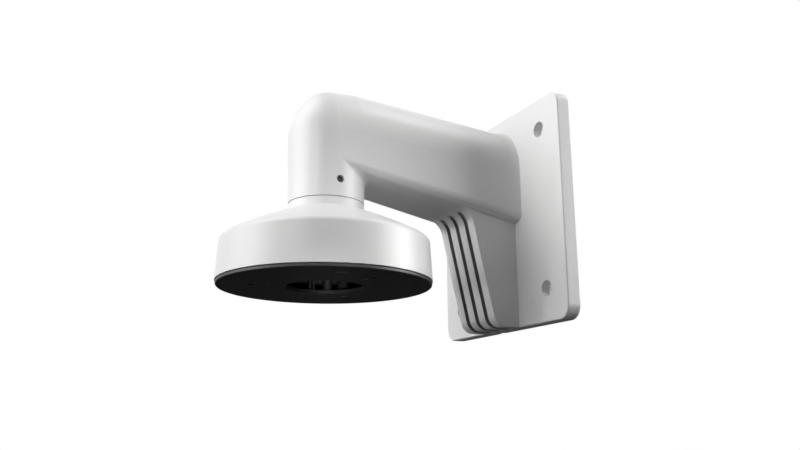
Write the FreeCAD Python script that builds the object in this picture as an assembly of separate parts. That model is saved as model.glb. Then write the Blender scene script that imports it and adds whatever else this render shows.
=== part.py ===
"""Wall bracket for a dome camera: a hollow cast arm on a square plate, with a screwed dish.

Millimetres. +X runs along the wall, +Y into the wall, +Z up. The origin is the centre of the
wall plate's back face, so the wall is the plane Y = 0 and the arm reaches out along -Y.
"""
import FreeCAD, Part
import os
from math import cos, degrees, pi, radians, sin, sqrt, tan

# Wall plate
plate_width = 155.0
plate_height = 155.0
plate_thickness = 9.5
plate_corner = 9.0
plate_edge_round = 1.0
plate_skin = 4.0
plate_rim = 4.0
back_rib = 2.4
back_rib_inset = 0.4
wall_hole_spacing_x = 111.0
wall_hole_spacing_z = 111.0
wall_hole = 6.2
wall_hole_head = 11.0
wall_hole_head_depth = 6.0
wall_hole_boss = 17.0
drain_notch = 5.0
drain_notch_offset = -11.0

# Arm: an arch whose floor falls and whose sides spread towards the wall
casting_wall = 3.2
reach = 143.7
arm_nose_half_width = 26.2
arm_wall_half_width = 30.0
arm_nose_crown = 78.5
arm_wall_crown = 69.2
arm_nose_spring = 44.5
arm_wall_spring = 34.2
arm_nose_floor = 21.4
arm_wall_floor = -2.6
arm_nose_corner = 4.0
arm_wall_corner = 6.5
arm_nose_fullness = 0.68
arm_ridge_start = 15.0
arm_ridge_crown = 79.0
arm_ridge_spring = 45.5
flare_length = 8.0
flare_spread = 1.3
flare_steps = 3

# Collar under the elbow
collar_bottom = -0.7
collar_radius = 25.2
collar_edge = 0.4
collar_fillet = 4.0
collar_sink = 0.6
thread_radius = 21.1
thread_depth = 31.0

# Ribbed column under the arm
column_width = 45.0
column_foot = 29.9
column_head = 45.7
column_head_height = 2.6
column_corner = 9.0
column_fillet = 14.0
rib_count = 4
groove_width = 4.1
groove_depth = 4.5
rib_edge_round = 0.4

# Dish
dish_radius = 70.0
dish_top_radius = 68.6
dish_bottom = -53.0
dish_shoulder = -25.9
dish_wall = 2.8
shoulder_round = 4.0
neck_bottom = -6.3
neck_fillet = 1.0
roof_bow = 1.6
roof_bow_radius = 300.0
spigot_length = 14.0
spigot_clearance = 0.1
spigot_wall = 3.0
pillar_diameter = 8.0
pillar_pitch_radius = 38.0
dish_turn = -10.0

# Black plate under the dish
camera_plate_thickness = 2.6
camera_plate_inset = 0.5
camera_plate_chamfer = 0.5
shadow_gap = 0.5
shadow_gap_depth = 1.2
locating_ring_height = 2.0
locating_ring_width = 2.0
locating_clearance = 0.3
cable_hole_radius = 25.4
cable_hole_edge = 0.4
face_groove_radius = 67.6
face_groove = 0.6
camera_hole = 4.2
camera_hole_pitch_radius = 47.0
slot_pitch_radius = 54.0
slot_width = 4.6
slot_length = 11.0
post_diameter = 6.6
post_pitch_radius = 31.5
post_height = 13.0
post_turn = 16.0
fin_thickness = 1.2
fin_gap = 2.6
fin_length = 5.0
fin_turn = 36.5

# Screws
plate_screw_count = 3
plate_screw = 2.5
plate_screw_clearance = 0.1
plate_screw_length = 10.0
plate_screw_head = 4.4
plate_screw_head_height = 1.5
plate_screw_recess = 1.8
plate_screw_socket = 2.0
plate_screw_socket_depth = 0.9
collar_screw = 4.9
collar_screw_gap = 0.05
collar_screw_length = 2.8
collar_screw_height = 10.9
collar_screw_socket = 2.5
collar_screw_socket_depth = 1.8

# Worked out from the sizes above
axis_y = -reach
plate_front = -plate_thickness
plate_bottom = -plate_height / 2
flare_start = plate_front - flare_length
floor_slope = (arm_nose_floor - arm_wall_floor) / (reach + flare_start)
foot_height = plate_bottom + column_corner
column_lean = (column_head - column_foot) / (column_head_height - foot_height)
roof_slope = (neck_bottom - dish_shoulder) / (dish_top_radius - collar_radius)
camera_face = dish_bottom - camera_plate_thickness
spigot_radius = thread_radius - spigot_clearance

# Small allowances: how far one body runs into another, and how far a cut runs past a face
overlap = 0.1
past = 1.0

UP = FreeCAD.Vector(0, 0, 1)
INTO_WALL = FreeCAD.Vector(0, 1, 0)


def point(x, y, z):
    return FreeCAD.Vector(x, y, z)


def line(start, end):
    return Part.LineSegment(start, end).toShape()


def cylinder(radius, length, base, direction):
    return Part.makeCylinder(radius, length, base, direction)


def blend(start, end, share):
    """The value that lies a share of the way from start to end."""
    return start + (end - start) * share


def quarter_oval(start, corner, end, fullness=sqrt(0.5)):
    """A quarter turn from start to end inside the given corner. This fullness makes an ellipse."""
    curve = Part.BezierCurve()
    curve.setPoles([start, corner, end])
    curve.setWeight(2, fullness)
    return curve.toShape()


def rounded_outline(corners):
    """Closed outline through (point, rounding) corners."""
    count = len(corners)
    starts = []
    ends = []
    arcs = []
    for index, (corner, rounding) in enumerate(corners):
        if rounding == 0:
            starts.append(corner)
            ends.append(corner)
            arcs.append(None)
            continue
        back = (corners[index - 1][0] - corner).normalize()
        ahead = (corners[(index + 1) % count][0] - corner).normalize()
        half = back.getAngle(ahead) / 2
        start = corner + back * (rounding / tan(half))
        end = corner + ahead * (rounding / tan(half))
        middle = corner + (back + ahead).normalize() * (rounding / sin(half) - rounding)
        starts.append(start)
        ends.append(end)
        arcs.append(Part.Arc(start, middle, end).toShape())
    edges = []
    for index in range(count):
        if arcs[index]:
            edges.append(arcs[index])
        following = starts[(index + 1) % count]
        if ends[index].distanceToPoint(following) > overlap / 100:
            edges.append(line(ends[index], following))
    return Part.Wire(edges)


def turned(corners):
    """Turns a closed outline of (radius, height, rounding) corners about the dish's axis."""
    spots = [(point(0, axis_y + radius, height), rounding) for radius, height, rounding in corners]
    outline = rounded_outline(spots)
    return Part.Face(outline).revolve(point(0, axis_y, 0), UP, 360)


def arch(y, half_width, foot_half_width, floor, corner, spring, crown, fullness=sqrt(0.5)):
    """The arm's outline at one distance from the wall: flat floor, round corners, tall arch."""
    right_foot = point(foot_half_width - corner, y, floor)
    left_foot = point(-foot_half_width + corner, y, floor)
    right_side = point(foot_half_width, y, floor + corner)
    left_side = point(-foot_half_width, y, floor + corner)
    right_spring = point(half_width, y, spring)
    left_spring = point(-half_width, y, spring)
    top = point(0, y, crown)
    edges = [
        line(left_foot, right_foot),
        quarter_oval(right_foot, point(foot_half_width, y, floor), right_side),
        line(right_side, right_spring),
        quarter_oval(right_spring, point(half_width, y, crown), top, fullness),
        quarter_oval(top, point(-half_width, y, crown), left_spring, fullness),
        line(left_spring, left_side),
        quarter_oval(left_side, point(-foot_half_width, y, floor), left_foot),
    ]
    return Part.Wire(edges)


def rounded_plate(width, height, corner, y_start, depth):
    """A plate parallel to the wall with rounded corners."""
    plate = Part.makeBox(width, depth, height, point(-width / 2, y_start, -height / 2))
    through = [edge for edge in plate.Edges if abs(edge.tangentAt(edge.FirstParameter).y) > 0.9]
    return plate.makeFillet(corner, through)


def wall_plate():
    """The square plate, with a slightly rounded front edge."""
    plate = rounded_plate(plate_width, plate_height, plate_corner, plate_front, plate_thickness)
    front = [edge for edge in plate.Edges if abs(edge.CenterOfMass.y - plate_front) < overlap]
    return plate.makeFillet(plate_edge_round, front)


def wall_holes():
    """Centres of the four screw holes on the plate's back."""
    across = wall_hole_spacing_x / 2
    up = wall_hole_spacing_z / 2
    return [point(x, 0, z) for x in (-across, across) for z in (-up, up)]


def back_pocket():
    """What is cored out of the plate's back: all but the rim, the screw bosses and the ribs."""
    depth = plate_thickness - plate_skin
    width = plate_width - 2 * plate_rim
    height = plate_height - 2 * plate_rim
    pocket = rounded_plate(width, height, plate_corner - plate_rim, -depth, depth + past)
    kept = []
    for centre in wall_holes():
        base = point(centre.x, -depth - past, centre.z)
        kept.append(cylinder(wall_hole_boss / 2, depth + past, base, INTO_WALL))
    rib_depth = depth + past - back_rib_inset
    for across in (-wall_hole_spacing_x / 3, wall_hole_spacing_x / 3):
        corner = point(across - back_rib / 2, -depth - past, -plate_height / 2)
        kept.append(Part.makeBox(back_rib, rib_depth, plate_height, corner))
    for up in (-wall_hole_spacing_z / 3, 0, wall_hole_spacing_z / 3):
        corner = point(-plate_width / 2, -depth - past, up - back_rib / 2)
        kept.append(Part.makeBox(plate_width, rib_depth, back_rib, corner))
    return pocket.cut(kept)


def collar_radius_at(height):
    """The collar and the nose lean outwards a little as they rise."""
    lean = (arm_nose_half_width - collar_radius) / (arm_nose_spring - collar_bottom)
    return collar_radius + lean * (height - collar_bottom)


def arm_sections(inset):
    """Outlines of the arm from the elbow to the plate, drawn in by a wall thickness."""
    nose_foot = collar_radius_at(arm_nose_floor + arm_nose_corner)
    sections = [
        arch(
            axis_y,
            arm_nose_half_width - inset,
            nose_foot - inset,
            arm_nose_floor + inset,
            arm_nose_corner - inset / 2,
            arm_nose_spring,
            arm_nose_crown - inset,
            arm_nose_fullness,
        )
    ]
    share = arm_ridge_start / (reach + flare_start)
    sections.append(
        arch(
            axis_y + arm_ridge_start,
            blend(arm_nose_half_width, arm_wall_half_width, share) - inset,
            blend(nose_foot, arm_wall_half_width, share) - inset,
            blend(arm_nose_floor, arm_wall_floor, share) + inset,
            blend(arm_nose_corner, arm_wall_corner, share) - inset / 2,
            arm_ridge_spring,
            arm_ridge_crown - inset,
        )
    )
    for step in range(flare_steps + 1):
        share = step / flare_steps
        grow = flare_spread * share * share
        half_width = arm_wall_half_width + grow - inset
        sections.append(
            arch(
                flare_start + flare_length * share,
                half_width,
                half_width,
                arm_wall_floor - grow + inset,
                arm_wall_corner - inset / 2,
                arm_wall_spring,
                arm_wall_crown + grow - inset,
            )
        )
    return sections


def arm_body(inset, tail):
    """The arm as a ruled body, with a straight tail that runs into or through the plate."""
    sections = arm_sections(inset)
    last = sections[-1].copy()
    last.translate(point(0, tail, 0))
    return Part.makeLoft(sections + [last], True, True)


def nose(inset, bottom, bottom_radius):
    """Front half of the elbow: a leaning round wall under a domed top."""
    spring_radius = arm_nose_half_width - inset
    crown = arm_nose_crown - inset
    axis_bottom = point(0, axis_y, bottom)
    axis_top = point(0, axis_y, crown)
    side_bottom = point(bottom_radius, axis_y, bottom)
    side_top = point(spring_radius, axis_y, arm_nose_spring)
    edges = [
        line(axis_bottom, side_bottom),
        line(side_bottom, side_top),
        quarter_oval(side_top, point(spring_radius, axis_y, crown), axis_top, arm_nose_fullness),
        line(axis_top, axis_bottom),
    ]
    return Part.Face(Part.Wire(edges)).revolve(axis_bottom, -UP, 180)


def collar():
    """The round foot of the elbow. Behind the axis its top ends inside the arm's round corner."""
    top = arm_nose_floor + arm_nose_corner - collar_sink
    return turned(
        [
            (0, collar_bottom, 0),
            (collar_radius - collar_edge, collar_bottom, 0),
            (collar_radius_at(collar_bottom + collar_edge), collar_bottom + collar_edge, 0),
            (collar_radius_at(top), top, 0),
            (0, top, 0),
        ]
    )


def elbow_and_arm():
    """Nose, collar and arm in one body, with a fillet where the collar's back meets the arm."""
    nose_bottom = collar_bottom + past
    elbow = nose(0, nose_bottom, collar_radius_at(nose_bottom))
    body = elbow.fuse([collar(), arm_body(0, plate_skin / 2)]).removeSplitter()
    crease = []
    for edge in body.Edges:
        middle = edge.valueAt((edge.FirstParameter + edge.LastParameter) / 2)
        off_axis = sqrt(middle.x**2 + (middle.y - axis_y) ** 2)
        on_collar = abs(off_axis - collar_radius_at(middle.z)) < overlap
        behind_axis = edge.BoundBox.YMax > axis_y + past
        under_side = collar_bottom + past < middle.z < arm_nose_floor + arm_nose_corner
        if on_collar and behind_axis and under_side:
            crease.append(edge)
    return body.makeFillet(collar_fillet, crease)


def column_front(height, depth):
    """Where the column's leaning front stands at a height, drawn in by a depth."""
    return -column_foot - column_lean * (height - foot_height) + depth * sqrt(1 + column_lean**2)


def column_wedge():
    """Angle between the column's front and the arm's floor."""
    return point(0, column_lean, -1).getAngle(point(0, -1, floor_slope))


def column_outline(depth, fillet, sink):
    """Side view of the column, drawn in by a depth, with its hollow head running into the arm."""
    # The front meets the sloping floor here, sunk a little so that the two bodies overlap
    floor_base = arm_wall_floor + sink + floor_slope * flare_start
    head_height = (floor_base - floor_slope * column_front(0, depth)) / (1 - floor_slope * column_lean)
    head = point(0, column_front(head_height, depth), head_height)
    along_floor = point(0, -1, floor_slope).normalize()
    beyond = head + along_floor * (fillet / tan(column_wedge() / 2) + past)
    bottom = plate_bottom + depth
    back = plate_front + plate_skin / 2
    return rounded_outline(
        [
            (point(0, back, bottom), 0),
            (point(0, column_front(bottom, depth), bottom), column_corner - depth),
            (head, fillet),
            (beyond, 0),
            (point(0, beyond.y, arm_nose_floor), 0),
            (point(0, back, arm_nose_floor), 0),
        ]
    )


def column_rib(width, middle):
    """One rib of the column, with its two long outer edges rounded."""
    outline = column_outline(0, column_fillet, overlap)
    outline.translate(point(middle - width / 2, 0, 0))
    rib = Part.Face(outline).extrude(point(width, 0, 0))
    long_edges = []
    for edge in rib.Edges:
        on_side = edge.BoundBox.XLength < overlap
        upright = edge.BoundBox.YLength < overlap
        at_top = edge.BoundBox.ZMax > arm_nose_floor - overlap
        if on_side and not upright and not at_top:
            long_edges.append(edge)
    return rib.makeFillet(rib_edge_round, long_edges)


def column():
    """Ribs stand on a core. The grooves between them fade out on the arm's floor."""
    fade = groove_depth / sin(column_wedge()) * tan(column_wedge() / 2)
    outline = column_outline(groove_depth, column_fillet + fade, 3 * overlap)
    core_width = column_width - 2 * rib_edge_round
    outline.translate(point(-core_width / 2, 0, 0))
    body = Part.Face(outline).extrude(point(core_width, 0, 0))
    rib_width = (column_width - (rib_count - 1) * groove_width) / rib_count
    first = (rib_width - column_width) / 2
    ribs = [column_rib(rib_width, first + index * (rib_width + groove_width)) for index in range(rib_count)]
    return body.fuse(ribs)


def column_pocket():
    """The hollow behind the ribs, open at the back and up into the arm."""
    depth = groove_depth + casting_wall
    half_width = column_width / 2 - casting_wall
    bottom = plate_bottom + depth
    top = arm_wall_floor + casting_wall + column_corner
    outline = rounded_outline(
        [
            (point(-half_width, past, bottom), 0),
            (point(-half_width, column_front(bottom, depth), bottom), column_corner / 2),
            (point(-half_width, column_front(top, depth), top), 0),
            (point(-half_width, past, top), 0),
        ]
    )
    return Part.Face(outline).extrude(point(2 * half_width, 0, 0))


def arm_casting():
    """Plate, arm, elbow, collar and column as one hollow casting."""
    body = elbow_and_arm().fuse([column(), wall_plate()])
    body = body.removeSplitter()
    thread_top = collar_bottom + thread_depth
    thread = cylinder(thread_radius, thread_depth + past, point(0, axis_y, collar_bottom - past), UP)
    inner_nose = nose(casting_wall, thread_top - overlap, thread_radius)
    body = body.cut([inner_nose, arm_body(casting_wall, plate_thickness + past), thread])
    body = body.cut([column_pocket(), back_pocket()])
    for centre in wall_holes():
        front = point(centre.x, plate_front - past, centre.z)
        screw_hole = cylinder(wall_hole / 2, plate_thickness + 2 * past, front, INTO_WALL)
        head_hole = cylinder(wall_hole_head / 2, wall_hole_head_depth + past, front, INTO_WALL)
        body = body.cut([screw_hole, head_hole])
    notch_start = point(drain_notch_offset, 0, plate_bottom - past)
    notch = cylinder(drain_notch / 2, plate_rim + 2 * past, notch_start, UP)
    lock_start = point(thread_radius / 2, axis_y, collar_screw_height)
    lock = cylinder(collar_screw / 2, collar_radius, lock_start, point(1, 0, 0))
    return body.cut([notch, lock])


def around(pitch_radius, turn, height):
    """A point on a circle round the dish's axis, turned with the dish."""
    angle = radians(turn + dish_turn)
    return point(pitch_radius * cos(angle), axis_y + pitch_radius * sin(angle), height)


def thirds():
    """The screws' directions, evenly round the dish, the first one facing away from the wall."""
    first = degrees(-pi / 2)
    step = degrees(2 * pi / plate_screw_count)
    return [first + index * step for index in range(plate_screw_count)]


def bowed(inner_radius, inner_height, outer_radius, outer_height):
    """Middle corner of the roof's slightly bowed line between two ends."""
    run = outer_radius - inner_radius
    drop = inner_height - outer_height
    length = sqrt(run**2 + drop**2)
    radius = (inner_radius + outer_radius) / 2 + roof_bow * drop / length
    height = (inner_height + outer_height) / 2 + roof_bow * run / length
    return (radius, height, roof_bow_radius)


def dish_cap():
    """Threaded spigot, neck, roof and drafted wall in one turned casting, with three pillars."""
    bore = spigot_radius - spigot_wall
    spigot_top = collar_bottom + spigot_length
    roof_drop = dish_wall * sqrt(1 + roof_slope**2)
    under_neck = neck_bottom - roof_drop
    under_shoulder = dish_shoulder + roof_slope * dish_wall - roof_drop
    body = turned(
        [
            (bore, spigot_top, 0),
            (spigot_radius - collar_edge, spigot_top, 0),
            (spigot_radius, spigot_top - collar_edge, 0),
            (spigot_radius, collar_bottom, 0),
            (collar_radius - collar_edge, collar_bottom, 0),
            (collar_radius, collar_bottom - collar_edge, 0),
            (collar_radius, neck_bottom, neck_fillet),
            bowed(collar_radius, neck_bottom, dish_top_radius, dish_shoulder),
            (dish_top_radius, dish_shoulder, shoulder_round),
            (dish_radius, dish_bottom, 0),
            (dish_radius - dish_wall, dish_bottom, 0),
            (dish_top_radius - dish_wall, under_shoulder, shoulder_round / 2),
            bowed(collar_radius, under_neck, dish_top_radius - dish_wall, under_shoulder),
            (collar_radius, under_neck, 0),
            (bore, under_neck, 0),
        ]
    )
    inner_edge = pillar_pitch_radius - pillar_diameter
    outer_edge = pillar_pitch_radius + pillar_diameter
    mid_roof = dish_wall / 2

    def roof_height(radius):
        return neck_bottom - roof_slope * (radius - collar_radius) - mid_roof

    trimmed = turned(
        [
            (inner_edge, dish_bottom, 0),
            (inner_edge, roof_height(inner_edge), 0),
            (outer_edge, roof_height(outer_edge), 0),
            (outer_edge, dish_bottom, 0),
        ]
    )
    for turn in thirds():
        foot = around(pillar_pitch_radius, turn, dish_bottom)
        pillar = cylinder(pillar_diameter / 2, neck_bottom - dish_bottom, foot, UP)
        body = body.fuse(pillar.common(trimmed))
    hole_radius = (plate_screw + plate_screw_clearance) / 2
    for turn in thirds():
        start = around(pillar_pitch_radius, turn, dish_bottom - past)
        body = body.cut(cylinder(hole_radius, plate_screw_length + 2 * past, start, UP))
    return body


def slot_cutter(turn):
    """A slot bent along its pitch circle, with round ends."""
    swing = slot_length - slot_width
    half_angle = degrees(swing / slot_pitch_radius / 2)
    start = camera_face - past
    depth = camera_plate_thickness + 2 * past
    inner = slot_pitch_radius - slot_width / 2
    outer = slot_pitch_radius + slot_width / 2
    band = turned(
        [
            (inner, start, 0),
            (outer, start, 0),
            (outer, start + depth, 0),
            (inner, start + depth, 0),
        ]
    )
    ends = [around(slot_pitch_radius, turn + side * half_angle, start) for side in (-1, 1)]
    reach_out = 2 * slot_pitch_radius
    spread = [around(reach_out, turn + side * half_angle, start) for side in (-1, 1)]
    centre = point(0, axis_y, start)
    wedge_outline = Part.makePolygon([centre, spread[0], spread[1], centre])
    wedge = Part.Face(wedge_outline).extrude(UP * depth)
    round_ends = [cylinder(slot_width / 2, depth, end, UP) for end in ends]
    return band.common(wedge).fuse(round_ends)


def camera_plate():
    """Black disc that closes the dish, with its holes, locating ring, posts and fins."""
    rim = dish_radius - camera_plate_inset
    ring = dish_radius - dish_wall - locating_clearance
    ring_top = dish_bottom + locating_ring_height
    gap_start = rim - shadow_gap_depth
    body = turned(
        [
            (cable_hole_radius, camera_face + cable_hole_edge, 0),
            (cable_hole_radius + cable_hole_edge, camera_face, 0),
            (face_groove_radius - face_groove, camera_face, 0),
            (face_groove_radius - face_groove / 2, camera_face + face_groove, 0),
            (face_groove_radius, camera_face, 0),
            (rim - camera_plate_chamfer, camera_face, 0),
            (rim, camera_face + camera_plate_chamfer, 0),
            (rim, dish_bottom - shadow_gap, 0),
            (gap_start, dish_bottom - shadow_gap, 0),
            (gap_start, dish_bottom, 0),
            (ring, dish_bottom, 0),
            (ring, ring_top, 0),
            (ring - locating_ring_width, ring_top, 0),
            (ring - locating_ring_width, dish_bottom, 0),
            (cable_hole_radius, dish_bottom, 0),
        ]
    )
    added = []
    removed = []
    through = camera_plate_thickness + 2 * past
    for turn in thirds():
        post_foot = around(post_pitch_radius, turn + post_turn, dish_bottom - overlap)
        added.append(cylinder(post_diameter / 2, post_height + overlap, post_foot, UP))
        for side in (-1, 1):
            corner = point(
                post_pitch_radius - fin_length / 2,
                axis_y + side * fin_gap / 2 - fin_thickness / 2,
                dish_bottom - overlap,
            )
            fin = Part.makeBox(fin_length, fin_thickness, post_height + overlap, corner)
            fin.rotate(point(0, axis_y, 0), UP, turn + fin_turn + dish_turn)
            added.append(fin)
        below = camera_face - past
        screw_radius = (plate_screw + plate_screw_clearance) / 2
        head_radius = (plate_screw_head + plate_screw_clearance) / 2
        removed.append(cylinder(screw_radius, through, around(pillar_pitch_radius, turn, below), UP))
        removed.append(
            cylinder(head_radius, plate_screw_recess + past, around(pillar_pitch_radius, turn, below), UP)
        )
        removed.append(cylinder(camera_hole / 2, through, around(camera_hole_pitch_radius, turn, below), UP))
    for turn in (0.0, 180.0):
        removed.append(slot_cutter(turn))
    return body.fuse(added).cut(removed)


def hexagon(across_flats, depth, centre, direction):
    """A six-sided socket that starts just outside the screw's end."""
    radius = across_flats / sqrt(3)
    spots = [point(radius * cos(side * pi / 3), radius * sin(side * pi / 3), 0) for side in range(7)]
    socket = Part.Face(Part.makePolygon(spots)).extrude(UP * (depth + past))
    socket.Placement = FreeCAD.Placement(centre - direction * past, FreeCAD.Rotation(UP, direction))
    return socket


def plate_screws():
    """Three screws that hold the black plate, their heads sunk in its face."""
    head_bottom = camera_face + plate_screw_recess - plate_screw_head_height
    screws = []
    for turn in thirds():
        base = around(pillar_pitch_radius, turn, head_bottom)
        head = cylinder(plate_screw_head / 2, plate_screw_head_height, base, UP)
        shank = cylinder(plate_screw / 2, plate_screw_head_height + plate_screw_length, base, UP)
        socket = hexagon(plate_screw_socket, plate_screw_socket_depth, base, UP)
        screws.append(head.fuse(shank).removeSplitter().cut(socket))
    return Part.makeCompound(screws)


def locking_screw():
    """Grub screw in the collar's side, pressing on the dish's spigot."""
    inner = point(spigot_radius + collar_screw_gap, axis_y, collar_screw_height)
    outwards = point(1, 0, 0)
    body = cylinder(collar_screw / 2 - collar_screw_gap, collar_screw_length, inner, outwards)
    outer = inner + outwards * collar_screw_length
    return body.cut(hexagon(collar_screw_socket, collar_screw_socket_depth, outer, outwards * -1))


nodes = {
    "arm_casting": arm_casting(),
    "dish_cap": dish_cap(),
    "camera_plate": camera_plate(),
    "plate_screws": plate_screws(),
    "collar_screw": locking_screw(),
}
os.makedirs("parts", exist_ok=True)
for name, shape in nodes.items():
    shape.exportStep("parts/" + name + ".step")
    box = shape.BoundBox
    print(name, "solids", len(shape.Solids), "valid", shape.isValid(), "volume", round(shape.Volume))
    print("   x", round(box.XMin, 2), round(box.XMax, 2))
    print("   y", round(box.YMin, 2), round(box.YMax, 2))
    print("   z", round(box.ZMin, 2), round(box.ZMax, 2))
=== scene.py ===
# %% [markdown]
# # A wall bracket for a dome camera
# This lesson dresses a finished CAD model. The model is a white cast arm on a square wall plate,
# a round dish under its elbow and a black plate that closes the dish. Its shapes are fixed, so the
# work here is on what CAD leaves out: the finishes, the small screws, the light and the camera.
# The frame is metres, with X along the wall, Y into the wall and Z up.

# %% Load the packed model
import math

import bmesh
import bpy
from mathutils import Matrix, Vector


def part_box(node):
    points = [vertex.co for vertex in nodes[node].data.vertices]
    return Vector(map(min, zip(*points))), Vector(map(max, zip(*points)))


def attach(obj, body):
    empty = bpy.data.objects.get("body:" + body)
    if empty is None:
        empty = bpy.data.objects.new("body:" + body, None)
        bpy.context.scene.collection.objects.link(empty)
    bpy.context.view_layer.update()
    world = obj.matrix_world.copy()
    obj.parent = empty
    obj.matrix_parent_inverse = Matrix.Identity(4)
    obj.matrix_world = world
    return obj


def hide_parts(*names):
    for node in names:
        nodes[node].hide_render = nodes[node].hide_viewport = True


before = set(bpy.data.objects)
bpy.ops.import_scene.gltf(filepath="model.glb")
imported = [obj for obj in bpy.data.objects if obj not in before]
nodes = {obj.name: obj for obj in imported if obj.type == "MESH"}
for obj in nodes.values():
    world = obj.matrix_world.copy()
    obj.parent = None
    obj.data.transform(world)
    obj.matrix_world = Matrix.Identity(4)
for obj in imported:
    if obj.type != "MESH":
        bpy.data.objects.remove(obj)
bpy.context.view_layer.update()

MM = 0.001
for name, node in sorted(nodes.items()):
    low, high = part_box(name)
    print(name, "triangles", len(node.data.polygons))
    print("   from", [round(v, 4) for v in low], "to", [round(v, 4) for v in high])

# %% [markdown]
# ## Where things are
# The finishes change over the castings: coated outside, thinly coated in the hollows, black inside
# the dish. Blender can't read the CAD source, so the sizes that those places need are written here
# again, in millimetres, and are turned into metres where they are used. `past` is how far a mask
# stays off a face that it must not colour.

# %% Sizes that the finishes and screws share
elbow_axis_y = -143.7
flare_start_y = -17.5
casting_wall = 3.2
nose_half_width = 26.2
wall_half_width = 30.0
nose_spring = 44.5
wall_spring = 34.2
nose_crown = 78.5
wall_crown = 69.2
nose_floor = 21.4
wall_floor = -2.6
plate_half = 77.5
plate_depth = 9.5
plate_skin = 4.0
plate_rim = 4.0
wall_hole_offset = 55.5
wall_boss_middle = 7.0
thread_bore = 21.1
collar_bottom = -0.7
thread_top = 30.3
column_width = 45.0
column_foot = 29.9
column_foot_height = -68.5
column_lean = 0.2222
column_room_top = 4.0
groove_end_y = -75.0
rib_count = 4
groove_width = 4.1
groove_depth = 4.5
dish_radius = 70.0
dish_top_radius = 68.6
dish_wall = 2.8
dish_bottom = -53.0
dish_shoulder = -25.9
neck_radius = 25.2
neck_bottom = -6.3
spigot_bore = 18.0
spigot_top = 13.3
camera_plate_rim = 69.5
camera_face = -55.6
dish_turn = math.radians(-10.0)
past = 0.2
print("elbow axis at y =", elbow_axis_y * MM, "m")

# %% [markdown]
# ## Shader maths as plain Python
# A material is a graph of nodes, and maths drawn node by node is hard to read. One small class
# wraps a socket, so that `1 - mask * 0.5` adds the Math nodes by itself. Colours and vectors keep
# to Mix and Vector Math nodes, because a Math node turns a colour into a grey number.

# %% The class that wraps a socket
class Wire:
    """A socket of a node tree. Sums with it add Math nodes to the same tree."""

    def __init__(self, tree, socket):
        self.tree = tree
        self.socket = socket

    def math(self, operation, *values):
        """One Math node on the given values, or on this wire and a second value."""
        node = self.tree.nodes.new("ShaderNodeMath")
        node.operation = operation
        for slot, value in zip(node.inputs, values):
            if isinstance(value, Wire):
                self.tree.links.new(value.socket, slot)
            else:
                slot.default_value = value
        return Wire(self.tree, node.outputs[0])

    def __add__(self, other):
        return self.math("ADD", self, other)

    def __radd__(self, other):
        return self.math("ADD", other, self)

    def __sub__(self, other):
        return self.math("SUBTRACT", self, other)

    def __rsub__(self, other):
        return self.math("SUBTRACT", other, self)

    def __mul__(self, other):
        return self.math("MULTIPLY", self, other)

    def __rmul__(self, other):
        return self.math("MULTIPLY", other, self)

    def __truediv__(self, other):
        return self.math("DIVIDE", self, other)

    def __rtruediv__(self, other):
        return self.math("DIVIDE", other, self)

    def __lt__(self, other):
        return self.math("LESS_THAN", self, other)

    def __gt__(self, other):
        return self.math("GREATER_THAN", self, other)

    def __abs__(self):
        return self.math("ABSOLUTE", self)

    def sine(self):
        return self.math("SINE", self)

    def least(self, other):
        return self.math("MINIMUM", self, other)

    def most(self, other):
        return self.math("MAXIMUM", self, other)

    def with_side(self, other):
        """Length of the diagonal over this side and another one."""
        squares = self * self + other * other
        return squares.math("SQRT", squares)


print("a wire knows", [name for name in vars(Wire) if not name.startswith("__")])

# %% [markdown]
# ## One method for every other node
# `Graph` adds any node: its settings come first, because a setting such as the data type of a Mix
# node decides which sockets it has. Sockets that share a name are filled by number, as `_6`.
# `Finish` is a graph that starts from a new material and knows the object's own X, Y and Z.

# %% The classes for node trees and finishes
class Graph:
    """A node tree, and the one method that adds any node to it."""

    def __init__(self, tree):
        self.tree = tree

    def add(self, kind, settings=None, **values):
        """Adds a node, makes its settings, then fills its sockets by name or number."""
        node = self.tree.nodes.new(kind)
        for key, value in (settings or {}).items():
            setattr(node, key, value)
        for key, value in values.items():
            index = key[1:]
            slot = node.inputs[int(index)] if index.isdigit() else node.inputs[key.replace("_", " ")]
            self.fill(slot, value)
        return {out.name: Wire(self.tree, out) for out in node.outputs if out.enabled}

    def fill(self, slot, value):
        """Links a wire into a socket, or sets a plain value on it."""
        if isinstance(value, Wire):
            self.tree.links.new(value.socket, slot)
        else:
            slot.default_value = value


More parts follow.
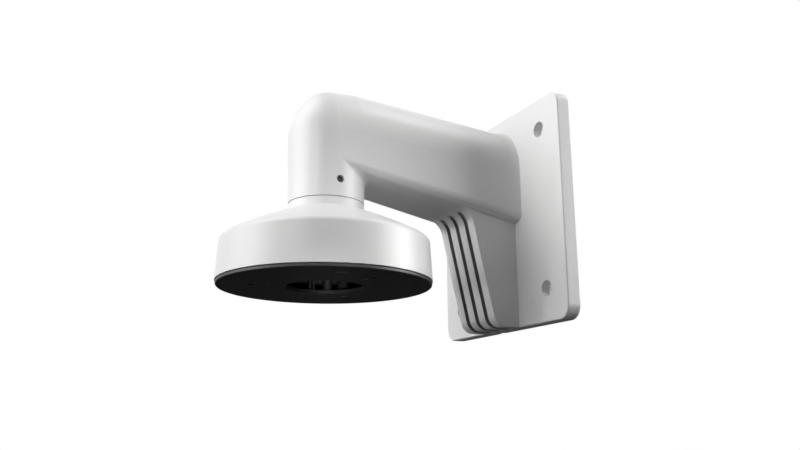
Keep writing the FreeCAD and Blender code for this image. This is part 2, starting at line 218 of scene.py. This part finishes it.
class Finish(Graph):
    """A new material with the object's own coordinates in metres."""

    def __init__(self, name):
        self.material = bpy.data.materials.new(name)
        self.material.use_nodes = True
        super().__init__(self.material.node_tree)
        self.shader = self.tree.nodes["Principled BSDF"]
        self.place = self.add("ShaderNodeTexCoord")["Object"]
        axes = self.add("ShaderNodeSeparateXYZ", {}, Vector=self.place)
        self.x, self.y, self.z = axes["X"], axes["Y"], axes["Z"]

    def noise(self, scale, detail=2.0, roughness=0.5):
        """Noise from 0 to 1. The scale counts its lumps per metre."""
        values = {"Scale": scale, "Detail": detail, "Roughness": roughness}
        return self.add("ShaderNodeTexNoise", {}, Vector=self.place, **values)["Fac"]

    def ramp(self, value, start, end, low=0.0, high=1.0, kind="LINEAR"):
        """Low before start, high after end and even between them. Start and end in metres."""
        limits = {"From_Min": start, "From_Max": end, "To_Min": low, "To_Max": high}
        made = self.add("ShaderNodeMapRange", {"interpolation_type": kind}, Value=value, **limits)
        return made["Result"]

    def blend(self, share, first, second):
        """A colour that moves from first to second as share moves from 0 to 1."""
        ends = [end if isinstance(end, Wire) else (*end, 1.0) for end in (first, second)]
        made = self.add("ShaderNodeMix", {"data_type": "RGBA"}, _0=share, _6=ends[0], _7=ends[1])
        return made["Result"]

    def wear(self, **values):
        """Fills the shader's own sockets."""
        for key, value in values.items():
            self.fill(self.shader.inputs[key.replace("_", " ")], value)

    def relief(self, height, depth, edge):
        """Bump of a real depth, over edges that look rounded by a radius, both in metres."""
        soft = self.add("ShaderNodeBevel", {"samples": 8}, Radius=edge)["Normal"]
        bump = self.add("ShaderNodeBump", {}, Height=height, Strength=1.0, Distance=depth, Normal=soft)
        self.wear(Normal=bump["Normal"])


print("a finish knows", [name for name in vars(Finish) if not name.startswith("__")])

# %% [markdown]
# ## The white coat
# The arm and the dish are die castings with a satin powder coat. The powder melts into a skin that
# is smooth at arm's length and slightly lumpy up close, like orange peel. A flat white would look
# like plastic, so the coat gets lumps of two sizes, a roughness that drifts a little, and a
# thinner, drier film in the hollows, where less powder arrives.

# %% Lumps, drift and dry overspray
coat_white = (0.75, 0.75, 0.746)
coat_shade = (0.73, 0.73, 0.727)
overspray = (0.50, 0.505, 0.51)
coat_drift = 14.0
coat_patches = 90.0
coat_lumps = 380.0
coat_grit = 1900.0
coat_satin = 0.36
coat_relief = 0.00006
coat_edge = 0.0005


def coat(finish, hollow):
    """Powder coat that thins out where the hollow mask is 1. Returns colour, roughness, height."""
    drift = finish.noise(coat_drift, 3.0)
    patches = finish.noise(coat_patches, 4.0, 0.6)
    outside = finish.blend(drift, coat_shade, coat_white)
    inside = finish.blend(patches, overspray, coat_shade)
    colour = finish.blend(hollow, outside, inside)
    roughness = coat_satin + drift * 0.08 + hollow * (0.15 + patches * 0.12)
    peel = finish.noise(coat_lumps, 2.0)
    grit = finish.noise(coat_grit, 1.0)
    height = peel * (0.55 + hollow * 0.6) + grit * (0.25 + hollow * 0.5)
    finish.wear(Coat_Roughness=0.25, Coat_Weight=0.12 * (1 - hollow))
    return colour, roughness, height


print("coat from", coat_shade, "to", coat_white)

# %% [markdown]
# ## Inside and outside of the arm
# The arm is one hollow casting, so its inside and its outside share a mesh. A mask tells them
# apart by place: halfway through the wall the arm's outline is a straight-sided oval that changes
# evenly from the elbow to the plate, and what lies within it is inside. Painted vertex colours
# would do as well, but a formula needs no extra points on the mesh.

# %% Masks for the casting's hollows
casting = Finish("white_coat_on_casting")
half_wall = casting_wall / 2
past_axis = casting.y - elbow_axis_y * MM
from_axis = casting.x.with_side(past_axis)


def along_arm(at_elbow, at_wall):
    """A size that changes evenly from the elbow's axis to the wall."""
    start, end = elbow_axis_y * MM, flare_start_y * MM
    return casting.ramp(casting.y, start, end, at_elbow * MM, at_wall * MM)


across = casting.x.with_side(past_axis.least(0.0))
width = along_arm(nose_half_width - half_wall, wall_half_width - half_wall)
spring = along_arm(nose_spring, wall_spring)
rise = along_arm(nose_crown - nose_spring - half_wall, wall_crown - wall_spring - half_wall)
oval = (across / width).with_side((casting.z - spring).most(0.0) / rise)
in_arm = (oval < 1.0) * (casting.z > along_arm(nose_floor + half_wall, wall_floor + half_wall))
print("arm mask uses", len(casting.tree.nodes), "nodes")

# %% [markdown]
# The other hollows are simpler: the bore under the elbow, the room inside the column and the
# cored back of the plate. The back also lies on the wall, so it gets the same thin film. The four
# screw holes reach into the back, but they open to the front and are coated from there.

# %% Masks for bore, column and back
wall_middle = (thread_bore + neck_radius) / 2
in_bore = (from_axis < wall_middle * MM) * (casting.z > (collar_bottom + past) * MM)
in_bore = in_bore * (casting.z < (thread_top + half_wall) * MM)
lean_back = (casting.z - column_foot_height * MM) * column_lean
into_front = casting.y + column_foot * MM + lean_back
into_foot = casting.z + plate_half * MM
into_column = into_front.least(into_foot)
in_column = (into_column > (groove_depth + half_wall) * MM) * (casting.z < column_room_top * MM)
in_column = in_column * (abs(casting.x) < (column_width / 2 - half_wall) * MM)
inner_half = (plate_half - plate_rim / 2) * MM
in_back = (abs(casting.x) < inner_half) * (abs(casting.z) < inner_half)
in_back = in_back * (casting.y > (-plate_depth + plate_skin / 2) * MM)
hole_side = abs(casting.x) - wall_hole_offset * MM
hole_height = abs(casting.z) - wall_hole_offset * MM
in_back = in_back * (hole_side.with_side(hole_height) > wall_boss_middle * MM)
hollow = in_arm.most(in_bore).most(in_column).most(in_back).most(casting.y > -0.1 * MM)
print("all masks use", len(casting.tree.nodes), "nodes")

# %% [markdown]
# ## Painted shade in the grooves between the ribs
# Deep between the ribs the colour is a dark grey: painted shade for the shadow in the narrow grooves.
# The
# grooves repeat evenly, so X is folded: the distance to the nearest groove's middle is the same
# for each of them. At the top the mask fades where the grooves run out on the arm's floor.

# %% Mask for the painted shade in the grooves
rib_width = (column_width - (rib_count - 1) * groove_width) / rib_count
groove_pitch = rib_width + groove_width
to_side_groove = abs(abs(casting.x) - groove_pitch * MM)
# Where the grooves lie: this mask carries painted shade.
groove_shade = abs(casting.x).least(to_side_groove) < (groove_width / 2 + 0.1) * MM
under_floor = along_arm(nose_floor, wall_floor) - casting.z
groove_shade = groove_shade * casting.ramp(under_floor, 0.1 * MM, 1.2 * MM, kind="SMOOTHSTEP")
groove_shade = groove_shade * (casting.y > groove_end_y * MM) * (casting.y < -(plate_depth + past) * MM)
groove_shade = groove_shade * (into_column < (groove_depth + half_wall) * MM)
print("grooves every", round(groove_pitch, 3), "mm")

# %% [markdown]
# The collar's end is turned flat, because the dish screws up against it. A thin dark grey line is
# painted round the joint: painted shade for the shadow in the gap between collar and dish.

# %% Painted shade at the joint, and the casting's finish
# Dark grey of the painted shade, used in the grooves and round the joint.
shade_paint_grey = (0.24, 0.24, 0.245)
joint_line = 0.35
joint_shade = (casting.z < (collar_bottom + joint_line) * MM) * (from_axis < (neck_radius + 1.0) * MM)
joint_shade = joint_shade * (from_axis > wall_middle * MM)
# Painted shade: the grooves and the joint line take the dark grey.
painted_shade = groove_shade.most(joint_shade)
colour, roughness, height = coat(casting, hollow)
casting.wear(Base_Color=casting.blend(painted_shade, colour, shade_paint_grey), Roughness=roughness + painted_shade * 0.1)
casting.relief(height, coat_relief, coat_edge)
print("the casting's finish has", len(casting.tree.nodes), "nodes")

# %% [markdown]
# ## The dish: coated outside, black inside
# Seen from below through the cable hole, the dish is dark. It has the same coat outside, while the
# inside is coloured a near-black with a fine speckle. The mask again
# follows the middle of the wall: a cylinder that flares a little, under a sloping roof.

# %% The dish's finish
inside_black = (0.012, 0.012, 0.013)
black_shade = (0.006, 0.006, 0.007)
inside_speckle = 300.0

dish = Finish("white_coat_on_dish")
from_dish_axis = dish.x.with_side(dish.y - elbow_axis_y * MM)
roof_drop = dish_wall / 2 + 0.1
roof = dish.ramp(from_dish_axis, neck_radius * MM, dish_top_radius * MM,
                 (neck_bottom - roof_drop) * MM, (dish_shoulder - roof_drop) * MM)
wall = dish.ramp(dish.z, dish_bottom * MM, dish_shoulder * MM,
                 (dish_radius - dish_wall / 2) * MM, (dish_top_radius - dish_wall / 2) * MM)
in_dish = (dish.z < roof) * (from_dish_axis < wall)
in_spigot = (from_dish_axis < (spigot_bore + 1.0) * MM) * (dish.z < (spigot_top - past) * MM)
# Inside the dish and up the spigot bore the colour is a near-black.
dark_inside = in_dish.most(in_spigot)
speckle = dish.noise(inside_speckle, 3.0)
colour, roughness, height = coat(dish, dark_inside)
black = dish.blend(speckle, black_shade, inside_black)
dish.wear(Base_Color=dish.blend(dark_inside, colour, black), Roughness=roughness + dark_inside * 0.1)
dish.relief(height, coat_relief, coat_edge)
print("dish finish has", len(dish.tree.nodes), "nodes")

# %% [markdown]
# ## The black plate
# The plate is moulded plastic with a fine spark-eroded texture, which is what makes it matt. Its
# edge is a little smoother than its face, because the mould is polished there. A pure black would
# lose the form, so the colour stays slightly above it.

# %% The plate's finish
spark_grain = 1500.0
spark_depth = 0.00005
mould_flow = 30.0
plate_dark = (0.011, 0.011, 0.012)
plate_light = (0.022, 0.022, 0.023)

moulded = Finish("black_moulded_plastic")
from_plate_axis = moulded.x.with_side(moulded.y - elbow_axis_y * MM)
edge_start, edge_end = (camera_plate_rim - 0.9) * MM, (camera_plate_rim - 0.1) * MM
at_edge = moulded.ramp(from_plate_axis, edge_start, edge_end, kind="SMOOTHSTEP")
spark = moulded.noise(spark_grain, 3.0, 0.6)
flow = moulded.noise(mould_flow, 2.0)
moulded.wear(
    Base_Color=moulded.blend(spark * 0.6 + flow * 0.4, plate_dark, plate_light),
    Roughness=0.5 + spark * 0.14 - at_edge * 0.12,
    Specular_IOR_Level=0.45,
)
moulded.relief(spark, spark_depth, 0.0003)
print("plate finish has", len(moulded.tree.nodes), "nodes")

# %% Dress the CAD pieces
def dress(piece, material):
    """Gives a piece one material."""
    piece.data.materials.clear()
    piece.data.materials.append(material)


dress(nodes["arm_casting"], casting.material)
dress(nodes["dish_cap"], dish.material)
dress(nodes["camera_plate"], moulded.material)
print("dressed arm_casting, dish_cap and camera_plate")

# %% [markdown]
# ## Screws
# In the CAD each screw is a plain pin with a six-sided socket. A real one has a rolled thread, a
# pointed end, a socket with a drilled bottom and softened edges, so new screws stand in for the
# plain ones. Each starts as a cylinder that stands on its socket end. Inset and extrude draw it
# out, a Boolean cuts the socket, a Bevel softens it and a Screw modifier winds the thread.

# %% Tools for modelling a screw
def clear_selection():
    """Back to object mode with nothing selected."""
    if bpy.context.object and bpy.context.object.mode == "EDIT":
        bpy.ops.object.mode_set(mode="OBJECT")
    bpy.ops.object.select_all(action="DESELECT")


def apply_modifier(piece, kind, **settings):
    """Adds a modifier to the active piece and applies it at once."""
    modifier = piece.modifiers.new(kind.lower(), kind)
    for key, value in settings.items():
        setattr(modifier, key, value)
    bpy.ops.object.modifier_apply(modifier=modifier.name)


def select_top(piece):
    """In edit mode, selects the piece's highest level face."""
    bpy.ops.object.mode_set(mode="EDIT")
    bpy.ops.mesh.select_mode(type="FACE")
    bpy.ops.mesh.select_all(action="DESELECT")
    shape = bmesh.from_edit_mesh(piece.data)
    level_faces = [face for face in shape.faces if face.normal.z > 0.99]
    top = max(level_faces, key=lambda face: face.calc_center_median().z)
    top.select = True
    bmesh.update_edit_mesh(piece.data)


def draw_out(length, taper=1.0):
    """Extrudes the selected face upwards, then narrows it."""
    bpy.ops.mesh.extrude_region_move(TRANSFORM_OT_translate={"value": (0.0, 0.0, length)})
    bpy.ops.transform.resize(value=(taper, taper, 1.0))


def cut_socket(piece, place, flats, depth):
    """Cuts a six-sided socket with a drilled bottom into the end that stands at that place."""
    clear_selection()
    bpy.ops.mesh.primitive_cylinder_add(vertices=6, radius=flats / math.sqrt(3), depth=2 * depth,
                                        location=place)
    cutter = bpy.context.object
    select_top(cutter)
    bpy.ops.mesh.inset(thickness=flats * 0.08)
    draw_out(flats * 0.18, 0.2)
    clear_selection()
    bpy.context.view_layer.objects.active = piece
    apply_modifier(piece, "BOOLEAN", operation="DIFFERENCE", object=cutter)
    bpy.data.objects.remove(cutter)


def wind_thread(place, radius, pitch, turns):
    """A ridge that winds up round a screw, from a triangle that points outwards."""
    clear_selection()
    ridge = pitch / 2
    start = (place[0] + radius - ridge, place[1], place[2])
    bpy.ops.mesh.primitive_circle_add(vertices=3, radius=ridge, location=start,
                                      rotation=(math.pi / 2, math.pi / 2, 0.0))
    coil = bpy.context.object
    bpy.context.scene.cursor.location = place
    bpy.ops.object.origin_set(type="ORIGIN_CURSOR")
    bpy.ops.object.transform_apply(location=False, rotation=True, scale=False)
    apply_modifier(coil, "SCREW", axis="Z", screw_offset=pitch, iterations=turns, steps=24,
                   render_steps=24)
    bpy.ops.object.mode_set(mode="EDIT")
    bpy.ops.mesh.select_all(action="SELECT")
    bpy.ops.mesh.fill_holes(sides=3)
    bpy.ops.mesh.normals_make_consistent(inside=False)
    clear_selection()
    return coil


print("screw tools ready")

# %% One screw from a cylinder
def socket_screw(name, place, head, core, socket, thread):
    """Upright screw on its socket end. head, core, socket and thread are pairs of sizes in metres."""
    head_radius, head_height = head
    core_radius, length = core
    thread_radius, pitch = thread
    tip = core_radius * 0.35
    clear_selection()
    middle = (place[0], place[1], place[2] + head_height / 2)
    bpy.ops.mesh.primitive_cylinder_add(vertices=48, radius=head_radius, depth=head_height,
                                        location=middle)
    screw = bpy.context.object
    screw.name = name
    select_top(screw)
    if head_radius > core_radius:
        bpy.ops.mesh.inset(thickness=head_radius - core_radius)
    draw_out(length - tip)
    draw_out(tip, 0.75)
    clear_selection()
    cut_socket(screw, place, *socket)
    apply_modifier(screw, "BEVEL", width=0.12 * MM, segments=2, limit_method="ANGLE",
                   angle_limit=math.radians(40.0))
    turns = math.floor((length - tip - pitch) / pitch)
    start = (place[0], place[1], place[2] + head_height + pitch)
    coil = wind_thread(start, thread_radius, pitch, turns)
    screw.select_set(True)
    coil.select_set(True)
    bpy.context.view_layer.objects.active = screw
    bpy.ops.object.join()
    bpy.ops.object.shade_smooth_by_angle(angle=math.radians(35.0))
    return screw


print("a screw is built by", socket_screw.__name__)

# %% [markdown]
# The black plate's three screws sit on one circle, turned with the dish. One is modelled and the
# others are copies with meshes of their own, each turned a little further, as screws stop where
# they happen to be tight. The grub screw in the collar is modelled upright and then laid along X.

# %% The four screws
screw_circle = 38.0
screw_sunk = 1.8
head = (2.2 * MM, 1.5 * MM)
turns = {"plate_screw_1": -90.0, "plate_screw_2": 30.0, "plate_screw_3": 150.0}
stops = {"plate_screw_1": 0.0, "plate_screw_2": 17.0, "plate_screw_3": 41.0}


def on_circle(degrees):
    """A place for a screw's head, counted from the dish's own front."""
    angle = math.radians(degrees) + dish_turn
    height = (camera_face + screw_sunk) * MM - head[1]
    return Vector((math.cos(angle), math.sin(angle), 0.0)) * screw_circle * MM + Vector(
        (0.0, elbow_axis_y * MM, height))


screw_places = {name: on_circle(turn) for name, turn in turns.items()}
first_name, first_place = next(iter(screw_places.items()))
first_screw = socket_screw(first_name, first_place, head, core=(1.02 * MM, 10.0 * MM),
                           socket=(2.0 * MM, 0.9 * MM), thread=(1.25 * MM, 0.45 * MM))
for name, place in screw_places.items():
    if name == first_name:
        continue
    clear_selection()
    first_screw.select_set(True)
    bpy.context.view_layer.objects.active = first_screw
    bpy.ops.object.duplicate()
    bpy.context.object.name = name
    bpy.ops.transform.translate(value=place - first_place)
    bpy.ops.transform.rotate(value=math.radians(stops[name]), orient_axis="Z",
                             center_override=place)

grub_place = Vector((21.05, elbow_axis_y, 10.9)) * MM
grub_length = 2.8
grub_screw = socket_screw("grub_screw", (0.0, 0.0, 0.0), head=(1.95 * MM, 0.6 * MM),
                          core=(1.95 * MM, 2.2 * MM), socket=(2.5 * MM, 1.5 * MM),
                          thread=(2.4 * MM, 0.8 * MM))
grub_screw.rotation_euler = (0.0, math.radians(-90.0), 0.0)
grub_screw.location = grub_place + Vector((grub_length * MM, 0.0, 0.0))
new_screws = [bpy.data.objects[name] for name in screw_places] + [grub_screw]
for screw in new_screws:
    clear_selection()
    screw.select_set(True)
    bpy.context.view_layer.objects.active = screw
    bpy.ops.object.transform_apply(location=True, rotation=True, scale=True)
    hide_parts("collar_screw" if screw is grub_screw else "plate_screws")
    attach(screw, "root")
    print(screw.name, "faces", len(screw.data.polygons), "at", [round(v, 4) for v in screw.bound_box[0]])

# %% [markdown]
# ## Screw steel
# The screws are steel with a dark zinc finish. The grub screw is coloured darker still: painted shade
# for the dark hole it sits in. Their ends were turned, so fine rings run round each screw's own axis,
# and the zinc is a little cloudy.

# %% The screws' finish
ring_pitch = 0.16
zinc_cloud = 700.0


def screw_steel(name, first, second, dark, light):
    """Zinc with turning rings. first and second turn a finish into the two sides off the axis."""
    steel = Finish(name)
    off_axis = first(steel).with_side(second(steel))
    rings = (off_axis * (2 * math.pi / (ring_pitch * MM))).sine()
    cloud = steel.noise(zinc_cloud, 3.0, 0.6)
    steel.wear(
        Base_Color=steel.blend(cloud, (dark, dark, dark), (light, light, light)),
        Metallic=1.0,
        Roughness=0.34 + cloud * 0.18 + rings * 0.03,
    )
    steel.relief(cloud * 0.5 + rings * 0.3, 0.00002, 0.0001)
    return steel.material


for name, place in screw_places.items():
    finish = screw_steel("dark_zinc_" + name, lambda it: it.x - place.x, lambda it: it.y - place.y,
                         0.16, 0.30)
    dress(bpy.data.objects[name], finish)
# The grub screw's darker colour is painted shade for the dark hole it sits in.
grub_shade_steel = screw_steel("grub_zinc_painted_shade", lambda it: it.y - grub_place.y, lambda it: it.z - grub_place.z,
                    0.05, 0.11)
dress(grub_screw, grub_shade_steel)
print("dressed", len(new_screws), "screws")

# %% [markdown]
# ## Camera
# The photograph looks up at the bracket from below its left, with a lens of about 36 mm. The
# place and the turn of the camera were worked out from the plate's corners and the dish's rim.

# %% Place the camera
turn_about = math.radians(63.943967)
rise_angle = math.radians(-14.243155)
tilt = math.radians(-0.359241)
image_width = 800.0
focal_pixels = 811.741
back = Vector((math.sin(turn_about) * math.cos(rise_angle),
               -math.cos(turn_about) * math.cos(rise_angle), math.sin(rise_angle)))
level = (-back).cross(Vector((0.0, 0.0, 1.0))).normalized()
upward = level.cross(-back)
right = level * math.cos(tilt) + upward * math.sin(tilt)
up = upward * math.cos(tilt) - level * math.sin(tilt)
camera_data = bpy.data.cameras.new("camera")
camera_data.sensor_width = 36.0
camera_data.lens = focal_pixels / image_width * camera_data.sensor_width
camera_data.clip_start = 0.01
camera = bpy.data.objects.new("camera", camera_data)
bpy.context.scene.collection.objects.link(camera)
camera_place = Matrix((right, up, back)).transposed().to_4x4()
camera_place.translation = Vector((0.4872975, -0.3274405, -0.1457970))
camera.matrix_world = camera_place
bpy.context.scene.camera = camera
print("lens", round(camera_data.lens, 3), "mm")

# %% [markdown]
# ## Light
# The photograph is a white sweep: soft light from the front of the plate and from behind the wall,
# little from the camera's side and least from below. Large lamps give that, and spots pick out the
# elbow, the plate's top, the arm, the dish and the ribs. One narrow spot shines into the cable hole,
# so that the posts in it are just seen. The world adds a trace of light from above. Its white
# background is kept apart from that, so a whiter background never means more light.

# %% Lamps
def shine(kind, name, place, aim, watts, **settings):
    """A lamp that faces a point."""
    data = bpy.data.lights.new(name, kind)
    data.energy = watts
    for key, value in settings.items():
        setattr(data, key, value)
    light = bpy.data.objects.new(name, data)
    bpy.context.scene.collection.objects.link(light)
    light.location = place
    light.rotation_mode = "QUATERNION"
    light.rotation_quaternion = (Vector(aim) - Vector(place)).to_track_quat("-Z", "Y")


def soft_lamp(name, place, width, height, watts):
    """A large soft lamp that faces the bracket's middle."""
    aim = (0.0, -0.08, 0.0)
    shine("AREA", name, place, aim, watts, shape="RECTANGLE", size=width, size_y=height)


def spot(name, place, aim, degrees, watts, radius=0.1):
    """A narrow lamp with a soft edge. A large radius softens its shadows."""
    angle = math.radians(degrees)
    shine("SPOT", name, place, aim, watts, spot_size=angle, spot_blend=1.0, shadow_soft_size=radius)


soft_lamp("front_left_lamp", (-0.55, -1.5, 0.55), 1.0, 1.2, 8.8)
soft_lamp("front_lamp", (0.0, -1.7, 0.05), 1.0, 1.0, 10.4)
soft_lamp("wall_side_lamp", (0.75, 1.2, 0.45), 1.2, 0.9, 19.0)
soft_lamp("behind_wall_lamp", (0.62, 1.35, 0.3), 0.6, 0.5, 4.5)
soft_lamp("top_front_lamp", (-0.2, -1.0, 1.4), 1.2, 1.0, 12.6)
soft_lamp("top_back_lamp", (0.3, 1.0, 1.3), 1.0, 1.0, 4.6)
spot("elbow_spot", (0.75, -1.1, 0.35), (0.0, -0.17, 0.02), 12.0, 12.6)
spot("plate_spot", (0.2, -1.3, 0.5), (0.075, 0.0, 0.075), 8.0, 43.0)
spot("arm_spot", (0.35, 0.5, 1.3), (0.0, -0.09, 0.07), 9.0, 14.0)
spot("dish_spot", (1.3, -0.15, -0.02), (0.05, -0.15, -0.045), 6.0, 48.0)
spot("rib_spot", (-1.1, -0.8, -0.05), (0.0, -0.035, -0.045), 8.0, 12.0)
spot("cable_hole_spot", (0.5, -0.33, -0.205), (0.0, -0.1437, -0.054), 4.2, 11.0, 0.02)

# %% [markdown]
# ## World and floor
# Rays from the camera, and rays that are reflected or pass through something, see the world as
# plain white. All others get the fill. A wall bracket hangs well above the floor, so the pale
# floor lies below it. It keeps the shadow that the bracket throws. For camera rays a share of
# plain white is mixed in, which lets it run into the white background without a line.

# %% The world
world_low, world_high = 0.0, 0.01
world = bpy.data.worlds.new("sweep")
bpy.context.scene.world = world
world.use_nodes = True
world.node_tree.nodes.clear()
sky = Graph(world.node_tree)
direction = sky.add("ShaderNodeTexCoord")["Generated"]
upwards = sky.add("ShaderNodeSeparateXYZ", {}, Vector=direction)["Z"]
level_of = sky.add("ShaderNodeMapRange", {}, Value=upwards, To_Min=world_low, To_Max=world_high)
fill = sky.add("ShaderNodeBackground", {}, Color=(1, 1, 1, 1), Strength=level_of["Result"])
white = sky.add("ShaderNodeBackground", {}, Color=(1, 1, 1, 1), Strength=1.0)
rays = sky.add("ShaderNodeLightPath")
seen = rays["Is Camera Ray"].most(rays["Is Glossy Ray"]).most(rays["Is Transmission Ray"])
picked = sky.add("ShaderNodeMixShader", {}, _0=seen, _1=fill["Background"], _2=white["Background"])
sky.add("ShaderNodeOutputWorld", {}, Surface=picked["Shader"])
print("world fills from", world_low, "to", world_high)

# %% The pale floor
floor_height = -0.8
white_share = 0.75
clear_selection()
bpy.ops.mesh.primitive_plane_add(size=40.0, location=(0.0, 0.0, floor_height))
floor = bpy.context.object
floor.name = "floor"
pale = Finish("pale_floor")
by_camera = pale.add("ShaderNodeLightPath")["Is Camera Ray"]
dust = pale.noise(3.0, 3.0) * 0.02
floor_colour = pale.blend(by_camera, (0.08, 0.08, 0.08), (0.8, 0.8, 0.8))
pale.wear(Base_Color=floor_colour, Roughness=0.88 + dust, Specular_IOR_Level=0.1)
glow = pale.add("ShaderNodeEmission", {}, Strength=1.0)["Emission"]
shaded = Wire(pale.tree, pale.shader.outputs[0])
surface = pale.add("ShaderNodeMixShader", {}, _0=by_camera * white_share, _1=shaded, _2=glow)
pale.fill(pale.tree.nodes["Material Output"].inputs["Surface"], surface["Shader"])
dress(floor, pale.material)
print("floor", [round(v, 2) for v in floor.dimensions])

# %% View transform
bpy.context.scene.view_settings.view_transform = "Standard"
